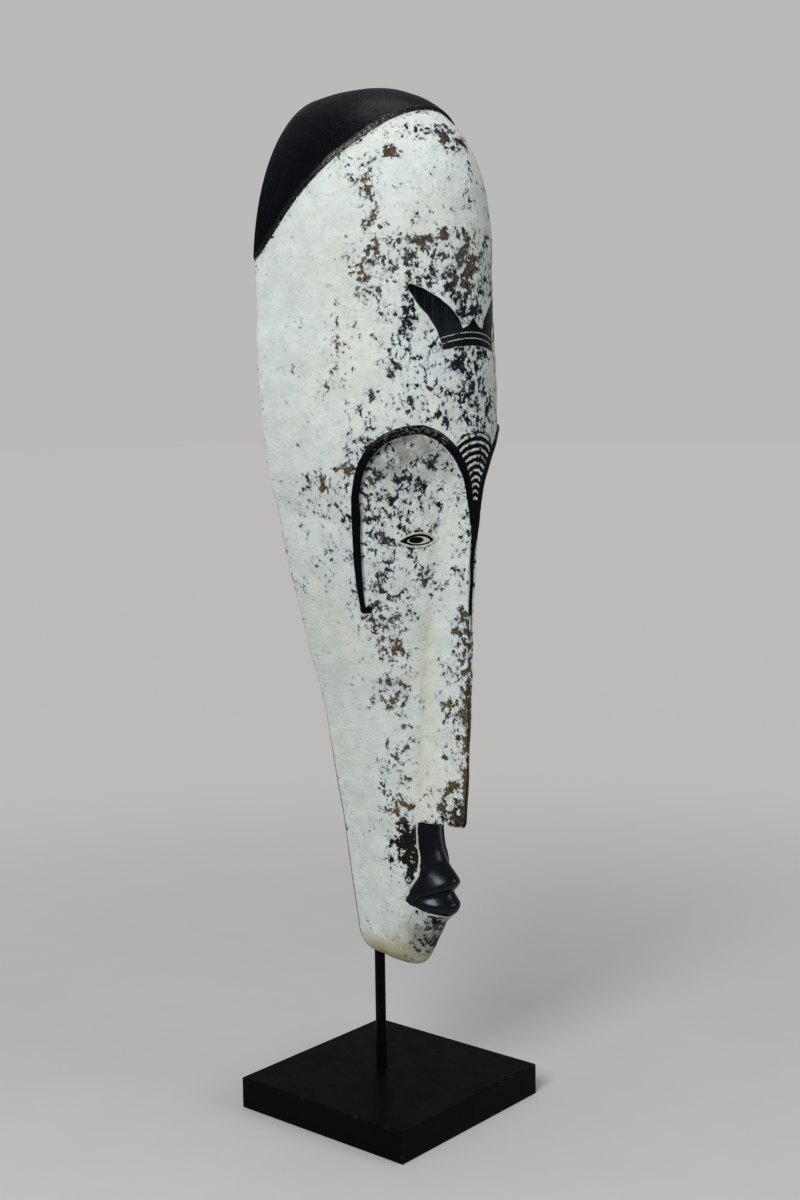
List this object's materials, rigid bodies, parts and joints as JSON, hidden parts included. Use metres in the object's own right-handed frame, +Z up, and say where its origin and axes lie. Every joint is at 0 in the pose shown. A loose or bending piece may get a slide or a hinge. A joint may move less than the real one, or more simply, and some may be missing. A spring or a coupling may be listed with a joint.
{
  "type": "carved mask on a stand",
  "caption": "Tall narrow carved face mask with a long nose and a hollow back, held up by a thin rod on a square plate.",
  "frame": {"origin": "middle of the square plate's underside, on the floor", "axes": "+Z up, the mask faces -Y square to the plate, +X to the mask's own left"},
  "size_m": [0.2304, 0.2132, 0.9485],
  "materials": {
    "carved_wood": "worn cool white and black paint over dark wood",
    "rod_metal": "satin black paint",
    "plate_wood": "satin black paint"
  },
  "bodies": {
    "root": {"mask": "carved_wood", "rod": "rod_metal", "base_plate": "plate_wood"}
  },
  "joints": []
}
